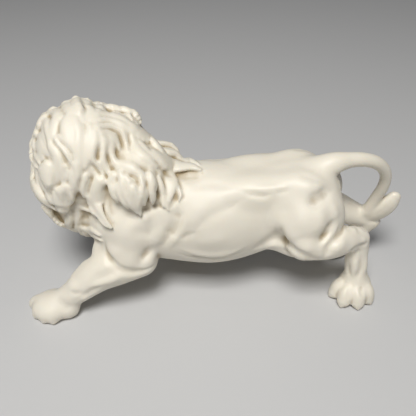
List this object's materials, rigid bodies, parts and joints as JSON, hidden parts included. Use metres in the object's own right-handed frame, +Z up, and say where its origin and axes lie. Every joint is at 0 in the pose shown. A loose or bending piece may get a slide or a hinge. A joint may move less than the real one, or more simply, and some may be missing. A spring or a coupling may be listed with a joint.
{
  "type": "lion figurine",
  "caption": "Small cast figurine of a striding lion with a full carved mane, its head turned over its right shoulder and its tail looped down to its hind leg.",
  "frame": {"origin": "middle of the lion's footprint box, on the ground it stands on", "axes": "+X toward the tail, -X the way the lion strides, +Y toward its right side, where its face looks, +Z up"},
  "size_m": [0.184, 0.073, 0.0988],
  "materials": {
    "resin": "satin ivory casting resin, slightly translucent, darker and yellower in the creases"
  },
  "bodies": {
    "root": {"lion_figurine": "resin"}
  },
  "joints": []
}
